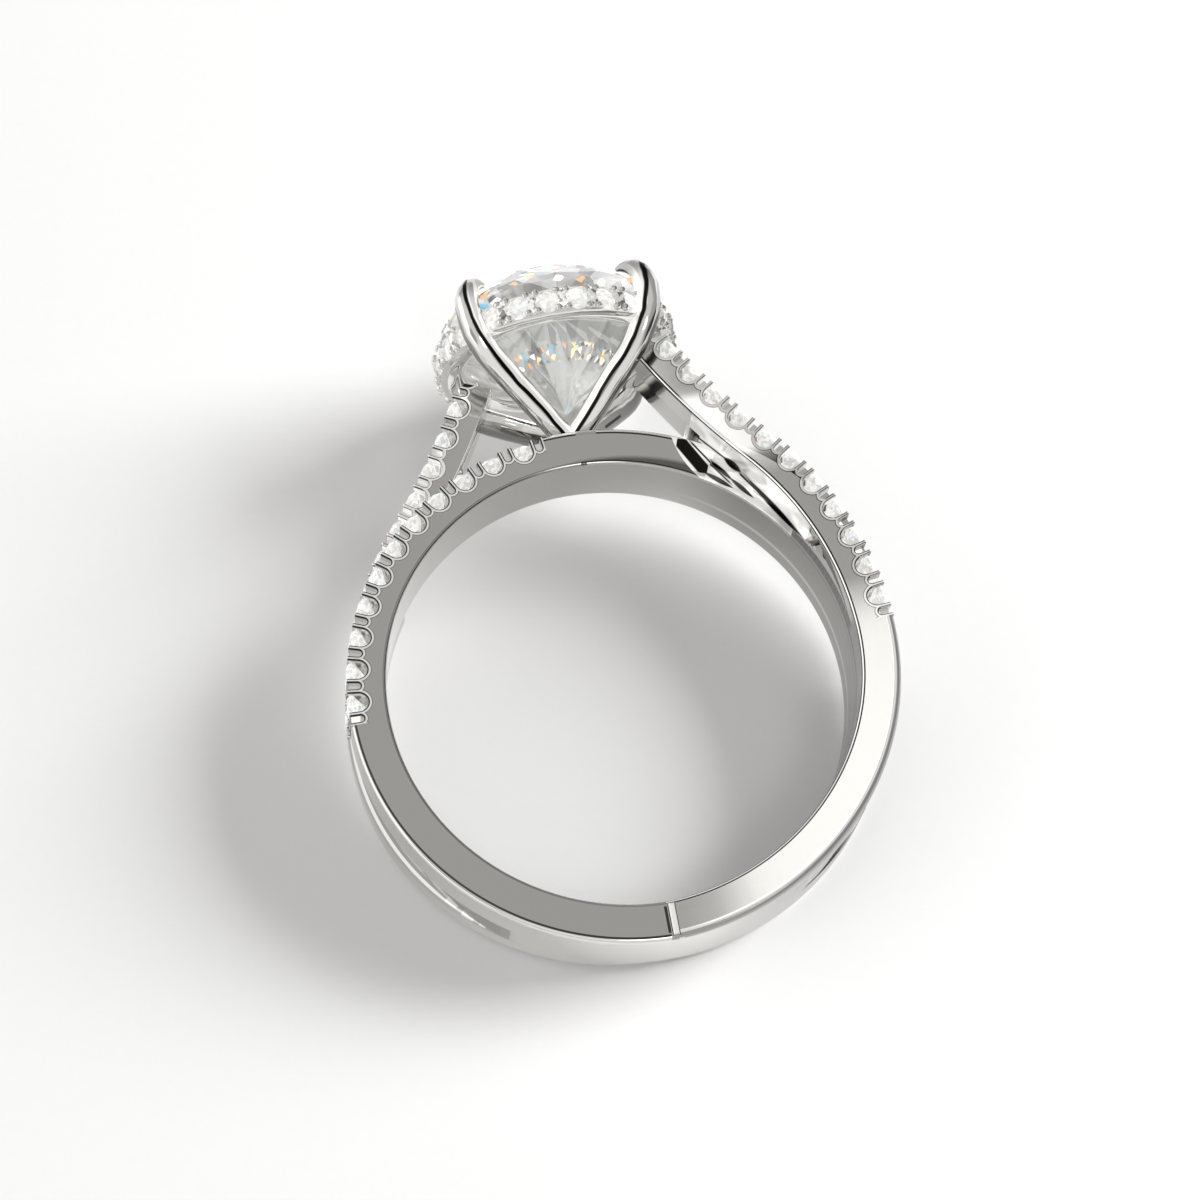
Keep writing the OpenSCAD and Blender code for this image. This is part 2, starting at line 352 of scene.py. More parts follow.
# low band
EDGE_ROUND = 0.2
HIGH_EDGE_ROUND = 0.3
INNER_ROUND = 0.13
BRIDGE_END_X = BRIDGE_HALF - 0.03
BRIDGE_END_R = 3.4
BRIDGE_END_Y = 9.3
BRIDGE_END_TURN = 40
BRIDGE_END_STEPS = 12
SEAT_STEPS = 60
BAND_STEPS = 240


def groove_tool():
    """What the low band loses beside the near high strand."""
    outline = [(CLEAR, -CLEAR), (CLEAR, CLEAR), (BRIDGE_END_X, CLEAR)]
    for i in range(BRIDGE_END_STEPS + 1):
        a = math.radians(180 + BRIDGE_END_TURN * i / BRIDGE_END_STEPS)
        outline.append((BRIDGE_END_X + BRIDGE_END_R + BRIDGE_END_R * math.cos(a),
                        BRIDGE_END_Y + BRIDGE_END_R * math.sin(a)))
    outline += [(4.2, 0), (BRIDGE_HALF, 0), (BRIDGE_HALF, -CLEAR)]
    body = bmesh.new()
    face = body.faces.new([body.verts.new((x, y, GROOVE_LOW)) for x, y in reversed(outline)])
    made = bmesh.ops.extrude_face_region(body, geom=[face])["geom"]
    bmesh.ops.translate(body, vec=(0, 0, 3),
                        verts=[v for v in made if isinstance(v, bmesh.types.BMVert)])
    bmesh.ops.recalc_face_normals(body, faces=body.faces)
    body = as_object(body)
    for radius, top, low, high, drop in (
            (GROOVE_R, GROOVE_R, -1, 5, GROOVE_DROP),
            (OUTER_R, FINGER_R, GROOVE_LOW, GROOVE_HIGH, 0)):
        keep = bmesh.new()
        drum(keep, radius, low, high, top_radius=top, turn=Matrix.Translation((0, -drop, 0)))
        cut(body, as_object(keep))
    return body


def rail_seat_tool():
    """The room of the near low rail in the band."""
    bm = bmesh.new()
    face = section(bm, (OUTER_R - RAIL_DEPTH, 0), (OUTER_R + 1, HALF_W + GROOVE_LOW + 1), 0, 0)
    sweep(bm, face, [
        (lambda at, s=LOW_START + (LOW_END - LOW_START) * i / SEAT_STEPS:
         along_low(s, at.x - OUTER_R, at.z)) for i in range(SEAT_STEPS + 1)])
    return as_object(bm)


def low_band():
    bm = bmesh.new()
    face = section(bm, (FINGER_R, -HALF_W), (OUTER_R, HALF_W), EDGE_ROUND, INNER_ROUND)
    outline = list(face.edges)
    bmesh.ops.delete(bm, geom=[face], context="FACES_ONLY")
    bmesh.ops.spin(bm, geom=outline, cent=(0, 0, 0), axis=(0, 0, 1), dvec=(0, 0, 0),
                   angle=math.tau, steps=BAND_STEPS, use_merge=True, use_duplicate=False)
    bmesh.ops.remove_doubles(bm, verts=bm.verts, dist=WELD)
    bmesh.ops.recalc_face_normals(bm, faces=bm.faces)
    band = as_object(bm)
    for turn in (Matrix(), HALF_TURN):
        for make in (groove_tool, rail_seat_tool):
            tool = make()
            tool.data.transform(turn)
            cut(band, tool)
    return as_bmesh(band)


# high strands
HIDDEN = 0.002  # keeps two skins that would coincide apart
STRAND_STEP = 0.25


def strand_stations(start, end):
    count = math.ceil((end - start) / STRAND_STEP)
    return [(lambda at, s=start + (end - start) * i / count:
             along_high(s, at.x - OUTER_R, at.z)) for i in range(count + 1)]


def high_strand_foot():
    """The plain part of a high strand, from the foot of the ring to its row of stones."""
    bm = bmesh.new()
    face = section(bm, (FINGER_R + HIDDEN, 0), (OUTER_R - HIDDEN, STRAND_W),
                   HIGH_EDGE_ROUND, INNER_ROUND)
    sweep(bm, face, strand_stations(HIGH_START, HIGH_RAIL_START))
    return bm


def high_strand_core():
    """The inner part of a high strand, under its row of stones."""
    bm = bmesh.new()
    face = section(bm, (FINGER_R, 0), (OUTER_R - RAIL_DEPTH, STRAND_W), 0, INNER_ROUND)
    sweep(bm, face, strand_stations(HIGH_RAIL_START, HIGH_END))
    return bm


FLOOR_PROUD = 0.02


def groove_floor():
    body = bmesh.new()
    drum(body, GROOVE_R + FLOOR_PROUD, 0, 4, turn=Matrix.Translation((0, -GROOVE_DROP, 0)))
    body = as_object(body)
    outside = bmesh.new()
    drum(outside, OUTER_R - FLOOR_PROUD, -1, 5)
    cut(body, as_object(outside), "INTERSECT")
    bore = bmesh.new()
    drum(bore, FINGER_R + 2 * HIDDEN, -1, 5)
    cut(body, as_object(bore))
    bm = as_bmesh(body)
    for point, away in (((0, 0, 0), (-1, 0, 0)),
                        ((0, 0, HALF_W - STRAND_W / 2), (-FLARE, 0, 1))):
        made = bmesh.ops.bisect_plane(
            bm, geom=bm.verts[:] + bm.edges[:] + bm.faces[:], dist=WELD,
            plane_co=point, plane_no=away, clear_outer=True)
        bmesh.ops.holes_fill(
            bm, edges=[e for e in made["geom_cut"] if isinstance(e, bmesh.types.BMEdge)])
    bmesh.ops.recalc_face_normals(bm, faces=bm.faces)
    return bm


def high_inside(clock):
    """Radius of a high strand's inner side at an angle from the head."""
    low, high = 0.0, HIGH_END
    for _ in range(40):
        s = (low + high) / 2
        at, a = high_place(s)
        at = at - SHANK_T * Vector((math.cos(a), math.sin(a), 0))
        if math.atan2(at.x, at.y) > clock:
            low = s
        else:
            high = s
    return math.hypot(at.x, at.y)


WEB_FROM, WEB_JOIN, WEB_TO = (math.radians(a) for a in (13, 24.6, 62))
WEB_STEPS = 60
WEB_JOIN_TURN = math.radians(1.5)
WEB_SAG = 0.2
WEB_POINTS = 6
WEB_THICK = 0.25
WEB_BITE = Vector((0.05, 0.12))  # how far the web reaches into the high strand
BAND_BITE = 0.05
STRUT = Vector((0.1, 0.8))


def web():
    """The strut under a high strand, which widens into a hollow web down to the low band."""
    bm = bmesh.new()
    front = [(i / (WEB_POINTS - 1), 0.0) for i in range(WEB_POINTS)]
    face = bm.faces.new([bm.verts.new((x, 0, z)) for x, z in front + [(1.0, -1.0), (0.0, -1.0)]])

    def station(at, clock):
        strand_r = high_inside(clock)
        low_z = HALF_W - STRAND_W + FLARE * strand_r * math.sin(clock)
        strand = Vector((strand_r, low_z)) + WEB_BITE
        band_r = min(OUTER_R - 0.1, strand_r - 0.07)
        band = Vector((band_r, GROOVE_LOW - BAND_BITE
                       + (OUTER_R - band_r) / SHANK_T * (GROOVE_HIGH - GROOVE_LOW)))
        join = min(1, max(0, (clock - WEB_JOIN) / WEB_JOIN_TURN + 0.5))
        r, z = (strand - STRUT).lerp(band, join).lerp(strand, at.x)
        z += WEB_THICK * at.z - join * WEB_SAG * math.sin(math.pi * at.x) * (at.z + 1)
        return Vector((r * math.sin(clock), r * math.cos(clock), z))

    sweep(bm, face, [(lambda at, clock=WEB_FROM + (WEB_TO - WEB_FROM) * i / WEB_STEPS:
                      station(at, clock)) for i in range(WEB_STEPS + 1)])
    return bm


LIP_R = (8.6, 9.82)
LIP_Z = (0.65, 0.95)
LIP_ROUND = 0.05
LIP_FROM, LIP_TO = math.radians(-5), math.radians(31)
LIP_STEPS = 36


def lip():
    """The lip on top of the bridge, which runs on into the wall beside it."""
    bm = bmesh.new()
    face = section(bm, (LIP_R[0], LIP_Z[0]), (LIP_R[1], LIP_Z[1]), LIP_ROUND, 0)
    sweep(bm, face, [(lambda at, clock=LIP_FROM + (LIP_TO - LIP_FROM) * i / LIP_STEPS:
                      Vector((at.x * math.sin(clock), at.x * math.cos(clock), at.z)))
                     for i in range(LIP_STEPS + 1)])
    dull, crotch = (bm.faces.layers.float.new(key) for key in ("dull", "crotch"))
    # painted shade on the outer rounding of the lip; the rest carries the crotch's painted
    # reflections and painted light
    for face in bm.faces:
        outside = face.calc_center_median().xy.length > LIP_R[1] - LIP_ROUND / 2
        face[dull], face[crotch] = (0.7, 0.0) if outside else (0.0, 1.0)
    return bm


SEAM_AT = 0.02
SEAM_W = 0.3
SEAM_PROUD = 0.09


def seam():
    """The soldered end of a near strand at the foot of the ring: a low rounded bar."""
    bm = bmesh.new()
    made = box(bm, (SEAM_AT, -OUTER_R + 0.1, HALF_W - 0.2),
               (SEAM_AT + SEAM_W, -FINGER_R - 0.1, HALF_W + SEAM_PROUD))
    top = [e for e in {e for v in made for e in v.link_edges}
           if all(v.co.z > HALF_W for v in e.verts)]
    rounded(bm, top, SEAM_PROUD * 0.95, segments=3)
    bm.normal_update()
    dull, glow = (bm.faces.layers.float.new(key) for key in ("dull", "glow"))
    # painted light on the top of the bar and painted shade on its sides
    for face in bm.faces:
        face[dull], face[glow] = (0.0, 0.5) if face.normal.z > 0.9 else (1.0, 0.0)
    return bm


# head
HALO_POCKET_R = 0.46
COLLAR_STEPS = 192


def collar():
    bm = bmesh.new()
    bmesh.ops.create_circle(
        bm, segments=32, radius=COLLAR_SECTION_R,
        matrix=Matrix.Translation((COLLAR_R, 0, COLLAR_H)) @ Matrix.Rotation(math.pi / 2, 4, "X"))
    bmesh.ops.spin(bm, geom=bm.edges[:], cent=(0, 0, 0), axis=(0, 0, 1), dvec=(0, 0, 0),
                   angle=math.tau, steps=COLLAR_STEPS, use_merge=True, use_duplicate=False)
    bmesh.ops.remove_doubles(bm, verts=bm.verts, dist=WELD)
    bmesh.ops.recalc_face_normals(bm, faces=bm.faces)
    body = as_object(bm)
    tool = bmesh.new()
    for place in halo_places():
        drum(tool, HALO_POCKET_R, -0.5, 2, segments=24, turn=place)
    cut(body, as_object(tool))
    bm = as_bmesh(body)
    bm.transform(ON_HEAD)
    bm.normal_update()
    # painted sparkle on the outward faces of the collar
    painted_sparkle = bm.faces.layers.float.new("painted_sparkle")
    for face in bm.faces:
        middle = face.calc_center_median()
        outward = face.normal.x * middle.x + face.normal.z * middle.z > 0
        face[painted_sparkle] = 1.0 if outward and abs(face.normal.y) < 0.75 else 0.0
    return bm


HALO_GIRDLE_R = COLLAR_R + COLLAR_SECTION_R - 0.34
BEAD_R = 0.15
BEAD_AT = COLLAR_SECTION_R - 0.01
BEAD_SPREAD = math.radians(2.3)
BEAD_ANGLES = (math.radians(36), math.radians(-36))


def halo_beads():
    """Two beads above and two below, between each two stones of the halo."""
    bm = bmesh.new()
    for quarter in range(4):
        for i in range(HALO_QUARTER + 1):
            middle = math.radians(90 * quarter) + (i - HALO_QUARTER / 2) * HALO_PITCH
            for side in (-1, 1):
                for lift in BEAD_ANGLES:
                    r = COLLAR_R + BEAD_AT * math.cos(lift)
                    h = COLLAR_H + BEAD_AT * math.sin(lift)
                    place = Matrix.Rotation(middle + side * BEAD_SPREAD, 4, "Z") \
                        @ Matrix.Translation((r, 0, h))
                    bmesh.ops.create_icosphere(bm, subdivisions=2, radius=BEAD_R, matrix=place)
    bm.transform(ON_HEAD)
    return bm


def halo_places():
    """Where each halo stone sits, its table outward along the local Z."""
    for quarter in range(4):
        for i in range(HALO_QUARTER):
            a = math.radians(90 * quarter) + (i - (HALO_QUARTER - 1) / 2) * HALO_PITCH
            yield (Matrix.Rotation(a, 4, "Z") @ Matrix.Translation((HALO_GIRDLE_R, 0, COLLAR_H))
                   @ Matrix.Rotation(math.pi / 2, 4, "Y"))


CLAW_PATH = (  # radius and height on the head, and the claw's own radius
    (0.0, 9.7, 0.44), (0.85, 10.3, 0.45), (1.6, 10.82, 0.46), (2.7, 11.57, 0.47),
    (3.5, 12.13, 0.48), (3.87, 12.42, 0.48), (4.2, 12.76, 0.48), (4.45, 13.16, 0.48),
    (4.6, 13.62, 0.47), (4.66, 14.14, 0.45), (4.6, 14.5, 0.42), (4.48, 14.8, 0.38),
    (4.28, 15.07, 0.32), (4.02, 15.24, 0.25), (3.75, 15.33, 0.17), (3.5, 15.37, 0.08))


def claw():
    """A claw is dragged along its path in the XZ plane of the head."""
    bm = bmesh.new()
    bmesh.ops.create_circle(bm, cap_ends=True, segments=24, radius=1)
    for v in bm.verts:
        v.co = Vector((v.co.x, 0, v.co.y))
    bm.faces.ensure_lookup_table()
    face = bm.faces[0]
    stations = []
    for i, (r, h, thick) in enumerate(CLAW_PATH):
        before = CLAW_PATH[max(i - 1, 0)]
        after = CLAW_PATH[min(i + 1, len(CLAW_PATH) - 1)]
        step = Vector((after[0] - before[0], 0, after[1] - before[1])).normalized()
        side = Vector((step.z, 0, -step.x))
        stations.append(lambda at, c=Vector((r, 0, h)), side=side, thick=thick:
                        c + thick * (at.x * side + at.z * Vector((0, 1, 0))))
    sweep(bm, face, stations)
    return bm


# the direction across a claw towards its painted white highlight, for two neighbours
CLAW_ACROSS = (Vector((-0.729, 0.665, 0.152)), Vector((0.851, 0.433, 0.298)))
SHEEN_MIDDLE = 2.0  # keeps the sheen of a claw above that of other metal, which has none


def claws():
    """The four claws. Each point knows how far across its claw it lies, which places the painted
    reflections on it.
    """
    parts = []
    for i in range(4):
        across = CLAW_ACROSS[(3 - i) % 2]
        if i < 2:
            across = HALF_TURN @ across
        bm = claw()
        bm.transform(ON_HEAD @ Matrix.Rotation(math.radians(45 + 90 * i), 4, "Z"))
        bm.normal_update()
        sheen = bm.verts.layers.float.new("sheen")
        for v in bm.verts:
            v[sheen] = SHEEN_MIDDLE + v.normal.dot(across)
        parts.append((bm, Matrix()))
    return joined(parts)


def joined(parts):
    """One bmesh out of several (bmesh, matrix) pairs."""
    whole = bmesh.new()
    for bm, turn in parts:
        mesh = bpy.data.meshes.new("part")
        bm.to_mesh(mesh)
        mesh.transform(turn)
        whole.from_mesh(mesh)
        bpy.data.meshes.remove(mesh)
    return whole


def both_halves(bm):
    return joined(((bm, Matrix()), (bm, HALF_TURN)))


# node helpers
class Value:
    """A number in a material: Python's operators on it add Math nodes."""

    def __init__(self, tree, socket):
        self.tree, self.socket = tree, socket

    def math(self, operation, *others):
        node = self.tree.nodes.new("ShaderNodeMath")
        node.operation = operation
        for slot, value in zip(node.inputs, (self, *others)):
            if isinstance(value, Value):
                self.tree.links.new(value.socket, slot)
            else:
                slot.default_value = value
        return Value(self.tree, node.outputs[0])

    def __add__(self, other):
        return self.math("ADD", other)

    def __sub__(self, other):
        return self.math("SUBTRACT", other)

    def __mul__(self, other):
        return self.math("MULTIPLY", other)

    __radd__ = __add__
    __rmul__ = __mul__

    def __rsub__(self, other):
        return self * -1 + other


class Nodes:
    """Adds nodes to one material or world and links them."""

    def __init__(self, owner):
        owner.use_nodes = True
        self.tree = owner.node_tree

    def add(self, kind, settings=(), **values):
        node = self.tree.nodes.new(kind)
        for key, value in dict(settings).items():
            setattr(node, key, value)
        for key, value in values.items():
            self.put(node, key.replace("_", " "), value)
        return node

    def put(self, node, key, value):
        slot = node.inputs[key]
        if isinstance(value, Value):
            self.tree.links.new(value.socket, slot)
        elif isinstance(value, bpy.types.NodeSocket):
            self.tree.links.new(value, slot)
        else:
            slot.default_value = value

    def value(self, socket):
        return Value(self.tree, socket)

    def smooth(self, value, low, high, out_low=0.0, out_high=1.0):
        node = self.add("ShaderNodeMapRange", {"interpolation_type": "SMOOTHSTEP"})
        for key, given in (("Value", value), ("From Min", low), ("From Max", high),
                           ("To Min", out_low), ("To Max", out_high)):
            self.put(node, key, given)
        return self.value(node.outputs["Result"])

    def mix_shaders(self, factor, first, second):
        node = self.add("ShaderNodeMixShader")
        for i, value in enumerate((factor, first, second)):
            self.put(node, i, value)
        return node.outputs[0]

    def blend(self, factor, low, high):
        """A colour between low and high."""
        node = self.add("ShaderNodeMix", {"data_type": "RGBA"})
        self.put(node, 0, factor)
        self.put(node, 6, low)
        self.put(node, 7, high)
        return node.outputs[2]

    def attribute(self, name):
        return self.value(self.add("ShaderNodeAttribute", {"attribute_name": name}).outputs["Fac"])

    def band(self, value, low, high, soft):
        """1 between low and high, with soft edges."""
        return self.smooth(value, low - soft / 2, low + soft / 2) \
            * self.smooth(value, high - soft / 2, high + soft / 2, 1.0, 0.0)

    def steps(self, factor, stops):
        """A ramp of plain colours, each from its own place on."""
        node = self.add("ShaderNodeValToRGB")
        ramp = node.color_ramp
        ramp.interpolation = "CONSTANT"
        ramp.elements.remove(ramp.elements[1])
        for i, (at, colour) in enumerate(stops):
            stop = ramp.elements[0] if i == 0 else ramp.elements.new(at)
            stop.position = at
            stop.color = colour
        self.put(node, 0, factor)
        return node.outputs[0]

    def cells(self, scale, place=None):
        """Three random numbers for each cell of an irregular pattern."""
        if place is None:
            place = self.add("ShaderNodeTexCoord").outputs["Object"]
        pattern = self.add("ShaderNodeTexVoronoi", Vector=place, Scale=scale)
        split = self.add("ShaderNodeSeparateColor", Color=pattern.outputs["Color"])
        return [self.value(split.outputs[i]) for i in range(3)]

    def grid(self, across, up):
        """A flat place, for a pattern that is laid round the head."""
        node = self.add("ShaderNodeCombineXYZ")
        self.put(node, 0, across)
        self.put(node, 1, up)
        return node.outputs[0]

    def in_ring(self):
        """The point in the ring's own frame, in millimetres: X, Y and Z."""
        back = LAID.inverted()
        place = self.add("ShaderNodeTexCoord").outputs["Object"]
        turned = self.add("ShaderNodeMapping", Vector=place, Scale=(1000, 1000, 1000),
                          Rotation=back.to_euler(), Location=-(back @ Vector((0, -MIDDLE, LIFT))))
        split = self.add("ShaderNodeSeparateXYZ", Vector=turned.outputs[0])
        return [self.value(split.outputs[i]) for i in range(3)]

    def noise(self, scale, detail=2.0):
        place = self.add("ShaderNodeTexCoord").outputs["Object"]
        return self.value(self.add("ShaderNodeTexNoise", Vector=place, Scale=scale,
                                   Detail=detail).outputs[0])


# materials
def new_material(name):
    material = bpy.data.materials.new(name)
    nodes = Nodes(material)
    nodes.tree.nodes.clear()
    return material, nodes


def surface(nodes, shader):
    out = nodes.add("ShaderNodeOutputMaterial")
    nodes.put(out, "Surface", shader)


POLISHED = (0.705, 0.694, 0.672, 1)
# the near-black that painted shade and painted dark reflections turn the metal to, and the colour of
# painted light
PAINTED_SHADE_COLOUR = (0.02, 0.019, 0.016, 1)
GLINT = (0.93, 0.925, 0.90, 1)
STRIPE_PLANE = 1.0  # the height at which the stripes are drawn
STRIPE_SHIFT = (0.15, 0.39)  # how far they move in x and y for each millimetre above it
STRIPE_EDGE = (-0.03, 0.015)
STRIPES = (  # two ends, half the width and bluntness of each dark reflection beside the bridge
    ((3.72, 8.99), (4.53, 7.46), 0.23, 9),
    ((4.13, 8.86), (5.35, 6.88), 0.03, 12),
    ((4.42, 7.54), (5.36, 6.74), 0.1, 4),
    ((4.74, 8.03), (5.43, 7.06), 0.09, 4),
    ((5.34, 7.19), (6.02, 6.26), 0.09, 4),
    ((4.41, 9.01), (5.43, 7.79), 0.02, 12),
    ((5.25, 8.01), (5.76, 7.32), 0.1, 4),
    ((5.69, 7.33), (6.38, 6.29), 0.03, 12),
    ((5.93, 7.1), (7.49, 4.43), 0.12, 3))


def stripe(nodes, x, y, a, b, half_width, bluntness):
    """1 inside a pointed stripe from a to b."""
    a = Vector(a)
    along = Vector(b) - a
    step = along / along.length_squared
    side = along.orthogonal().normalized()
    t = x * step.x + y * step.y - a.dot(step)
    off = (x * side.x + y * side.y - a.dot(side)).math("ABSOLUTE")
    reach = (t * (1 - t) * bluntness).math("MINIMUM", 1.0) * half_width
    return nodes.smooth(reach - off, *STRIPE_EDGE)


def crotch_reflections(nodes, x, y, z):
    """1 in the dark reflections of the hollow between the strands."""
    x = x + (z - STRIPE_PLANE) * STRIPE_SHIFT[0]
    y = y + (z - STRIPE_PLANE) * STRIPE_SHIFT[1]
    dark = None
    for given in STRIPES:
        one = stripe(nodes, x, y, *given)
        dark = one if dark is None else dark.math("MAXIMUM", one)
    return dark


def from_cuts(nodes):
    """How far a point on a rail's face is from the nearest cut, in millimetres.

    The pitch of the high row serves for the low one too: they differ by 0.003 mm."""
    along, height = nodes.attribute("along"), nodes.attribute("height")
    nearest = None
    for shift, width, deep in ((0.0, BIG_CUT_W, BIG_CUT_DEPTH),
                               (0.5, SMALL_CUT_W, SMALL_CUT_DEPTH)):
        at = along + shift
        off = (at - (at + 0.5).math("FLOOR")) * HIGH_PITCH
        drop = (height + (deep - width / 2)).math("MINIMUM", 0.0)
        away = (off * off + drop * drop).math("SQRT") - width / 2
        nearest = away if nearest is None else nearest.math("MINIMUM", away)
    return nearest


def rail_reflections(nodes):
    """The painted dark reflection and painted highlight round each cut of a rail, with painted shade
    beside them, and how near a point is to them.
    """
    rim = nodes.attribute("rim")
    away = from_cuts(nodes)
    dark = nodes.band(nodes.attribute("depth"), 0.045, 0.085, 0.004) * 0.9 \
        + rim * (nodes.smooth(away, 0.04, 0.055, 0.7, 0.0)
                 + nodes.band(away, 0.12, 0.145, 0.02) * 0.4
                 + nodes.smooth(away, 0.115, 0.17, 0.25, 0.0))
    light = rim * nodes.band(away, 0.048, 0.12, 0.015) * 0.45
    return dark, light, rim * nodes.smooth(away, 0.1, 0.17, 1.0, 0.0)


def claw_reflections(nodes, y):
    """The painted dark and light reflections along the claws, which waver a little and fade at the
    tips.
    """
    sheen = nodes.attribute("sheen")
    across = sheen - SHEEN_MIDDLE + (nodes.noise(700.0, 1.0) - 0.5) * 0.5
    claw = nodes.smooth(sheen, 0.5, 0.6)
    dark = claw * (nodes.band(across, 0.12, 0.36, 0.05)
                   + nodes.smooth(across, -0.8, -0.7, 0.6, 0.0)
                   + nodes.smooth(y, 14.3, 15.0, 0.0, 0.4))
    light = claw * nodes.smooth(y, 14.0, 15.0, 1.0, 0.35) \
        * (nodes.band(across, 0.4, 0.86, 0.06) * 0.7 + nodes.band(across, -0.5, 0.08, 0.1) * 0.3)
    return dark, light


def collar_sparkle(nodes):
    """The painted dark and light sparkle on the outside of the collar."""
    painted_sparkle = nodes.attribute("painted_sparkle")
    bright, dim, _ = nodes.cells(7000.0)
    dark = painted_sparkle * nodes.smooth(dim, 0.7, 0.72, 0.0, 0.7)
    light = painted_sparkle * nodes.smooth(bright, 0.5, 0.52, 0.0, 0.5)
    return dark, light


def crotch_tones(nodes, x, y, z, crotch):
    """Painted dark reflections in the hollow between the strands, and painted light round them."""
    stripes = crotch_reflections(nodes, x, y, z)
    cloud = nodes.smooth(nodes.noise(900.0, 1.0), 0.35, 0.6, 0.38, 0.75)
    return crotch * (stripes * 0.65 + 0.35), crotch * (1 - stripes) * cloud


def panel_tones(nodes, x, y, z, near_cut):
    """Painted reflections on the flat side of a high strand: grey below, then a patch of painted
    light, and grey by the claw.
    """
    on_panel = nodes.smooth((z - x * FLARE - HALF_W).math("ABSOLUTE"), 0.01, 0.02, 1.0, 0.0) \
        * nodes.smooth(x, 2.5, 3.0)
    below = nodes.band(y, 1.6, 6.9, 1.0) * nodes.smooth(x, 5.0, 6.0) * 0.46
    by_claw = nodes.smooth(y, 10.1, 10.6, 0.0, 0.12)
    patch = nodes.band(y, 7.5, 10.05, 0.5) * (1 - near_cut) * 0.7
    return on_panel * (below + by_claw), on_panel * patch


def shank_tones(nodes, x, y, z, crotch):
    """Painted reflections on the outside and the bore of the shank, darker on the right, painted
    light low on the outside, and painted shade on the bridge.
    """
    r = (x * x + y * y).math("SQRT")
    outside = nodes.smooth(r, 9.62, 9.645)
    bore = nodes.smooth(r, 8.262, 8.268, 1.0, 0.0)
    bore_lines = nodes.band(z, -0.55, -0.35, 0.1) + nodes.band(z, 1.3, 1.5, 0.1)
    bridge = nodes.smooth(y, 7.2, 7.5) * nodes.smooth(z, 1.355, 1.358) * (1 - crotch)
    dark = outside * nodes.smooth(x, 0.0, 9.0) * 0.75 \
        + bore * nodes.smooth(x, 3.0, 6.0) * (0.42 - bore_lines * 0.36) \
        + bridge * nodes.smooth(r - x * 0.07, 8.30, 8.52, 0.72, 0.0) * nodes.smooth(x, -1.5, 0.5)
    light = outside * nodes.smooth(y, -9.0, -4.0, 1.0, 0.0) \
        * nodes.smooth(x, 0.0, 3.0, 1.0, 0.0) * 0.12
    return dark, light


def seam_lines(nodes, x, y, z):
    """Painted dark hairlines of shade on both sides of a seam bar."""
    at_seam = nodes.smooth((z - HALF_W).math("ABSOLUTE"), 0.004, 0.008, 1.0, 0.0) \
        * nodes.band(y, -9.4, -8.45, 0.05)
    return at_seam * (nodes.band(x, SEAM_AT - 0.11, SEAM_AT, 0.02)
                      + nodes.band(x, SEAM_AT + SEAM_W, SEAM_AT + SEAM_W + 0.04, 0.02)) * 0.9


WAVE_DEPTH = 0.000012


def white_gold():
    """Polished metal, a little wavy from the buffing wheel, with its main reflections, shade and
    light painted on.
    """
    material, nodes = new_material("white_gold")
    x, y, z = nodes.in_ring()
    half = z.math("SIGN")
    half_x, half_z = x * half, z * half
    crotch = nodes.attribute("crotch")
    cut_dark, cut_light, near_cut = rail_reflections(nodes)
    tones = (
        (nodes.attribute("dull"), nodes.attribute("glow")),
        (cut_dark, cut_light),
        claw_reflections(nodes, y),
        collar_sparkle(nodes),
        crotch_tones(nodes, half_x, y, half_z, crotch),
        panel_tones(nodes, half_x, y, half_z, near_cut),
        shank_tones(nodes, x, y, z, crotch))
    dull = sum((dark for dark, light in tones), seam_lines(nodes, half_x, y, half_z))
    dull = dull.math("MINIMUM", 1.0)
    glow = sum(light for dark, light in tones)
    bump = nodes.add("ShaderNodeBump", Strength=1.0, Distance=WAVE_DEPTH,
                     Height=nodes.noise(260.0, 1.0))
    marks = nodes.noise(9000.0, 2.0)
    shader = nodes.add("ShaderNodeBsdfPrincipled", Metallic=1.0)
    # painted shade darkens the colour and also roughens the metal; painted light is given out as
    # emission
    nodes.put(shader, "Base Color", nodes.blend(dull, POLISHED, PAINTED_SHADE_COLOUR))
    nodes.put(shader, "Roughness", 0.06 + marks * 0.03 + dull * 0.2)
    nodes.put(shader, "Emission Color", nodes.blend(glow, (0, 0, 0, 1), GLINT))
    nodes.put(shader, "Emission Strength", 1.0)
    nodes.put(shader, "Normal", bump.outputs[0])
    surface(nodes, shader.outputs[0])
    return material


FIRE = (  # black, orange, blue, white and yellow glints, each from its own share on
    (0.0, (0.03, 0.03, 0.04, 1)),
    (0.32, (0.80, 0.36, 0.12, 1)),
    (0.44, (0.08, 0.38, 0.58, 1)),
    (0.56, (1, 1, 1, 1)),
    (0.86, (1.0, 0.80, 0.42, 1)))


def clear_stone(nodes):
    """Two glasses of slightly different bending power, so that edges show a little colour."""
    parts = []
    for index, colour in ((2.39, (1, 0.93, 0.8, 1)), (2.46, (0.85, 0.95, 1, 1))):
        part = nodes.add("ShaderNodeBsdfPrincipled", Roughness=0.0, IOR=index)
        nodes.put(part, "Transmission Weight", 1.0)
        nodes.put(part, "Base Color", colour)
        parts.append(part.outputs[0])
    return nodes.mix_shaders(0.5, *parts)


# a stone that glows with painted light of the given colour
def painted_light_stone(nodes, glow):
    part = nodes.add("ShaderNodeBsdfPrincipled", Roughness=0.1, IOR=2.4)
    nodes.put(part, "Base Color", (0.3, 0.3, 0.3, 1))
    nodes.put(part, "Emission Color", glow)
    nodes.put(part, "Emission Strength", 1.0)
    return part.outputs[0]


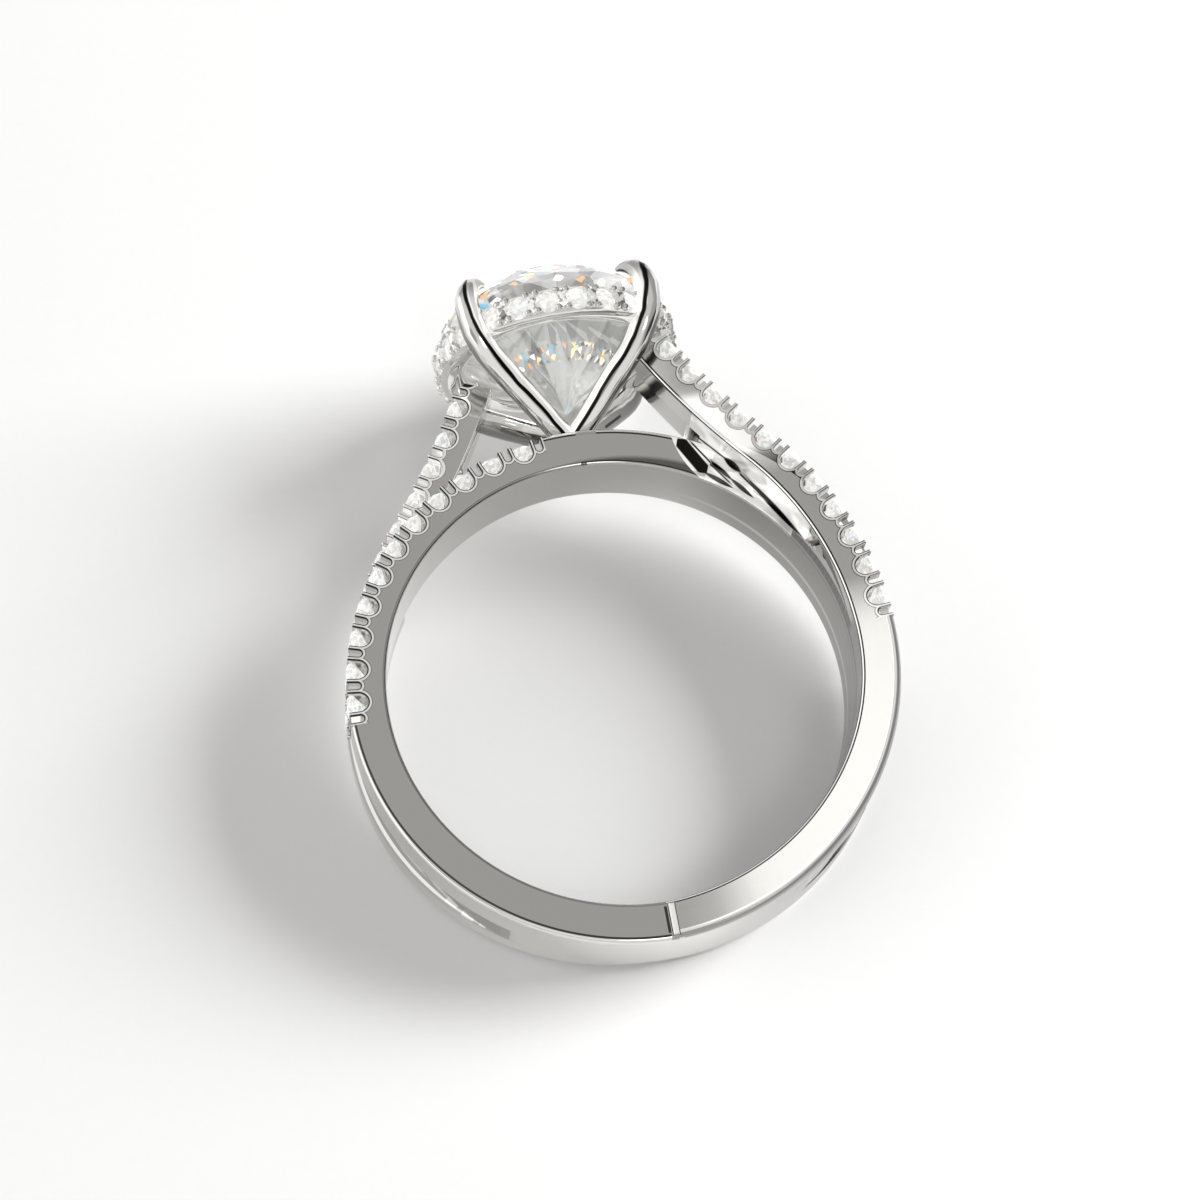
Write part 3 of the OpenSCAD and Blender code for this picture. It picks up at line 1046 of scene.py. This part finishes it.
def small_stone():
    """Side and halo stones: glass mixed with painted white light, with fine painted sparkle and
    coloured glints.
    """
    material, nodes = new_material("small_diamond")
    bright, fire, rare = nodes.cells(8000.0)
    glow = nodes.blend(nodes.smooth(bright, 0.1, 0.9), (0.42, 0.415, 0.40, 1), (0.80, 0.79, 0.77, 1))
    tint = nodes.steps(fire, ((0.0, (1.0, 0.80, 0.68, 1)), (0.5, (0.70, 0.86, 1.0, 1))))
    glow = nodes.blend(nodes.smooth(rare, 0.86, 0.88), glow, tint)
    surface(nodes, nodes.mix_shaders(0.62, clear_stone(nodes), painted_light_stone(nodes, glow)))
    return material


GIRDLE_H = 14.55
PAVILION_FIRE = (12.35, 12.8)
CROWN_FIRE = (14.0, 15.6)
SHARDS = 40  # of each pattern, how many go round the stone, and rows for each millimetre
FIRE_GRID = (84, 6.0)
FACET_GRID = (26, 2.0)


def centre_stone():
    """The big stone, glass mixed with painted light: pale shards that run to its point, a faceted
    crown, and belts of painted fire.
    """
    material, nodes = new_material("centre_diamond")
    x, h, z = nodes.in_ring()
    turn = x.math("ARCTAN2", z) * (1 / math.tau)
    shard = nodes.add("ShaderNodeTexWhiteNoise", {"noise_dimensions": "1D"})
    nodes.put(shard, "W", (turn * SHARDS + 0.5).math("FLOOR"))
    below = nodes.smooth(h, GIRDLE_H - 2.6, GIRDLE_H - 1.2, 1.0, 0.0)
    glow = nodes.blend(nodes.value(shard.outputs["Value"]) * 0.6 + below * 0.1,
                       (0.17, 0.172, 0.166, 1), (0.43, 0.435, 0.43, 1))
    crown = nodes.smooth(h, GIRDLE_H - 0.65, GIRDLE_H - 0.55)
    facet = nodes.cells(1.0, nodes.grid(turn * FACET_GRID[0], h * FACET_GRID[1]))[0]
    plane = nodes.blend(nodes.smooth(facet, 0.15, 0.8), (0.05, 0.05, 0.05, 1), (0.66, 0.66, 0.65, 1))
    glow = nodes.blend(crown, glow, plane)
    chosen, tone, _ = nodes.cells(1.0, nodes.grid(turn * FIRE_GRID[0], h * FIRE_GRID[1]))
    belt = nodes.band(h, *PAVILION_FIRE, 0.1) * nodes.smooth(chosen, 0.52, 0.54) \
        + nodes.band(h, *CROWN_FIRE, 0.1) * nodes.smooth(chosen, 0.80, 0.82)
    glow = nodes.blend(belt, glow, nodes.steps(tone, FIRE))
    share = 0.52 + crown * 0.15 + belt * 0.35
    surface(nodes, nodes.mix_shaders(share, clear_stone(nodes), painted_light_stone(nodes, glow)))
    return material


def floor_paper():
    material, nodes = new_material("floor_paper")
    shader = nodes.add("ShaderNodeBsdfPrincipled", Roughness=0.9)
    grain = nodes.noise(2500.0, 3.0)
    nodes.put(shader, "Base Color", nodes.blend(grain, (0.87, 0.87, 0.87, 1), (0.89, 0.89, 0.89, 1)))
    surface(nodes, shader.outputs[0])
    return material


gold = white_gold()
centre_diamond = centre_stone()
small_diamond = small_stone()


# pieces
SMOOTH_LIMIT = math.cos(math.radians(34))
FLAT_LIMIT = math.cos(math.radians(0.4))


def flat_areas(bm):
    """For each face, the area of the flat patch that it belongs to."""
    area = {}
    for first in bm.faces:
        if first in area:
            continue
        patch, open_faces = {first}, [first]
        while open_faces:
            face = open_faces.pop()
            for edge in face.edges:
                for other in edge.link_faces:
                    if other not in patch and other.normal.dot(first.normal) > FLAT_LIMIT:
                        patch.add(other)
                        open_faces.append(other)
        whole = sum(f.calc_area() for f in patch)
        for face in patch:
            area[face] = whole
    return area


def corner_normals(bm):
    """Normals that leave flat areas flat and turn within the roundings between them."""
    bm.normal_update()
    area = flat_areas(bm)
    normals = []
    for face in bm.faces:
        for vertex in face.verts:
            mean = Vector()
            for other in vertex.link_faces:
                if other.normal.dot(face.normal) > SMOOTH_LIMIT:
                    mean += other.normal * area[other] ** 2
            normals.append(mean.normalized() if mean.length > 0 else face.normal.copy())
    return normals


CROTCH_FROM, CROTCH_TO = math.radians(23.6), math.radians(60)


def paint(face):
    """The painted shade and painted light of a face, and where the crotch's painted reflections lie.
    """
    middle = face.calc_center_median()
    side = 1 if middle.z > 0 else -1
    x, z = middle.x * side, middle.z * side
    r = math.hypot(middle.x, middle.y)
    clock = math.atan2(x, middle.y)
    tilt = abs(face.normal.z)
    outward = face.normal.xy.dot(middle.xy)
    if tilt < 0.93 and CROTCH_FROM < clock < CROTCH_TO and FINGER_R + 0.2 < r \
            and outward * (1 if tilt > 0.3 else -1) > 0:
        return {"crotch": 1.0}
    low_edge, high_edge = abs(HALF_W - z), abs(HALF_W + FLARE * x - z)
    # painted light and shade on the outer rounding of a high strand
    if x > 0 and high_edge < 0.15 and r > OUTER_R - HIGH_EDGE_ROUND and outward > 0.01 * r:
        return {"glow": 0.4} if high_edge < 0.02 else {"dull": 0.75, "glow": 0.2}
    # painted light and shade on the inner roundings
    if outward < 0 and tilt < 0.95 and r > FINGER_R - 0.05:
        if x > 0 and 0.014 < high_edge < 0.08:
            return {"glow": 0.5} if high_edge < 0.04 else {"dull": 0.8}
        if x < 0 and 0.04 < low_edge < 0.08:
            return {"dull": 0.4}
    # a painted dark hairline where a rounding meets a flat side
    if 0.003 < min(low_edge, high_edge if x > 0 else 1) < 0.014 and 0.88 < tilt < 0.995:
        return {"dull": 0.9 if outward > 0 or x > 0 else 0.35}
    # painted light on the outer rounding of the low band
    if 0.02 < low_edge < 0.06 and r > OUTER_R - EDGE_ROUND and 0.5 < tilt < 0.93:
        return {"glow": 0.3}
    # a little painted shade on the bore
    return {"dull": 0.06} if r < FINGER_R + 0.02 else {}


# the layers of painted shade, painted reflection, painted light and painted sparkle that a face
# carries
LOOKS = ("dull", "crotch", "glow", "painted_sparkle")


def piece(name, bm, **given):
    """Lays a finished shape of the mount down in the frame and hands it over."""
    bm.normal_update()
    layers = bm.faces.layers.float
    for key in LOOKS:
        if not layers.get(key):
            layers.new(key)
    for face in bm.faces:
        painted = paint(face)
        for key in LOOKS:
            layer = layers.get(key)
            face[layer] = max(face[layer], given.get(key, 0.0), painted.get(key, 0.0))
    bm.transform(TO_FRAME)
    for face in bm.faces:
        face.smooth = True
        face.material_index = 0
    normals = corner_normals(bm)
    made = as_object(bm, name)
    made.data.materials.append(gold)
    made.data.normals_split_custom_set(normals)
    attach(made, "root")
    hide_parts("ring_mount")


piece("low_band", low_band())
piece("low_rails", both_halves(low_rail()))
piece("high_rails", both_halves(high_rail()))
piece("high_strands", joined([(make(), turn) for make in (high_strand_foot, high_strand_core)
                              for turn in (Matrix(), HALF_TURN)]))
# painted shade on the groove floors
piece("groove_floors", both_halves(groove_floor()), dull=0.36)
piece("webs", both_halves(web()))
piece("lips", both_halves(lip()))
piece("seams", both_halves(seam()))
# painted light on the collar and the beads
piece("halo_collar", collar(), glow=0.12)
piece("halo_beads", halo_beads(), glow=0.12)
piece("claws", claws())

NODE_FINISH = {"ring_mount": gold, "centre_stone": centre_diamond}
for name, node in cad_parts.items():
    node.data.materials.clear()
    node.data.materials.append(NODE_FINISH.get(name, small_diamond))


# stage
def add_floor():
    bm = bmesh.new()
    bmesh.ops.create_grid(bm, x_segments=1, y_segments=1, size=2)
    floor = as_object(bm, "floor")
    floor.data.materials.append(floor_paper())


KEY_DISTANCE = 0.45
KEY_TURN, KEY_RISE = math.radians(8), math.radians(29)
KEY_SIZE, KEY_POWER = 0.24, 2.9
KEY_AT = KEY_DISTANCE * Vector((math.cos(KEY_RISE) * math.cos(KEY_TURN),
                                math.cos(KEY_RISE) * math.sin(KEY_TURN), math.sin(KEY_RISE)))


def add_key_light():
    """The lamp that casts the shadow. The metal doesn't reflect it."""
    lamp = bpy.data.lights.new("key", "AREA")
    lamp.energy = KEY_POWER
    lamp.size = KEY_SIZE
    made = bpy.data.objects.new("key", lamp)
    scene.collection.objects.link(made)
    made.location = KEY_AT
    made.visible_glossy = False
    made.rotation_euler = (-KEY_AT).to_track_quat("-Z", "Y").to_euler()


def studio():
    """The light tent: white on the left, grey above with a soft box in it, and cards round it."""
    world = bpy.data.worlds.new("studio")
    scene.world = world
    nodes = Nodes(world)
    place = nodes.add("ShaderNodeTexCoord").outputs["Generated"]
    split = nodes.add("ShaderNodeSeparateXYZ", Vector=place)
    x, y, z = (nodes.value(split.outputs[i]) for i in range(3))

    def card(centre, inner, outer, level):
        """Weight and level of a round card around a direction."""
        c = Vector(centre).normalized()
        return nodes.smooth(x * c.x + y * c.y + z * c.z, math.cos(math.radians(outer)),
                            math.cos(math.radians(inner)), 0.0, 1.0), level

    level = nodes.smooth(z, 0.35, 0.7, 0.30, 0.43)
    left = nodes.smooth(x, -0.70, -0.60, 1.0, 0.0)
    front = nodes.smooth(y, -0.75, -0.55, 1.0, 0.0) * nodes.smooth(x, 0.25, 0.4, 1.0, 0.0)
    right_edge = nodes.smooth(y, 0.220, 0.232, 0.05, -0.07) \
        + nodes.smooth(y, 0.278, 0.292, 0.0, 0.08)
    left_edge = nodes.smooth(y, 0.15, 0.21, -0.078, -0.11)
    soft_box = nodes.smooth(x - left_edge, -0.01, 0.01) \
        * nodes.smooth(x - right_edge, -0.01, 0.02, 1.0, 0.0) \
        * nodes.smooth(y, -0.1, -0.04) * nodes.smooth(y, 0.325, 0.345, 1.0, 0.0) \
        * nodes.smooth(z, 0.5, 0.6)
    black_cards = (
        card((-0.58, -0.47, 0.68), 9, 17, 0.01),
        card((0.80, -0.50, 0.34), 24, 34, 0.06),
        card((0.80, 0.50, 0.20), 30, 42, 0.05))
    bright_card = card((0.2, -0.55, 0.81), 7, 9, 4.0)
    for weight, target in ((front, 0.62), (left, 1.15), *black_cards, bright_card, (soft_box, 1.38)):
        level = level * (1 - weight) + weight * target
    back = world.node_tree.nodes["Background"]
    nodes.put(back, "Color", (1.0, 0.992, 0.982, 1))
    nodes.put(back, "Strength", level * 1.05)


add_floor()
studio()
add_key_light()
scene.view_settings.view_transform = "Standard"
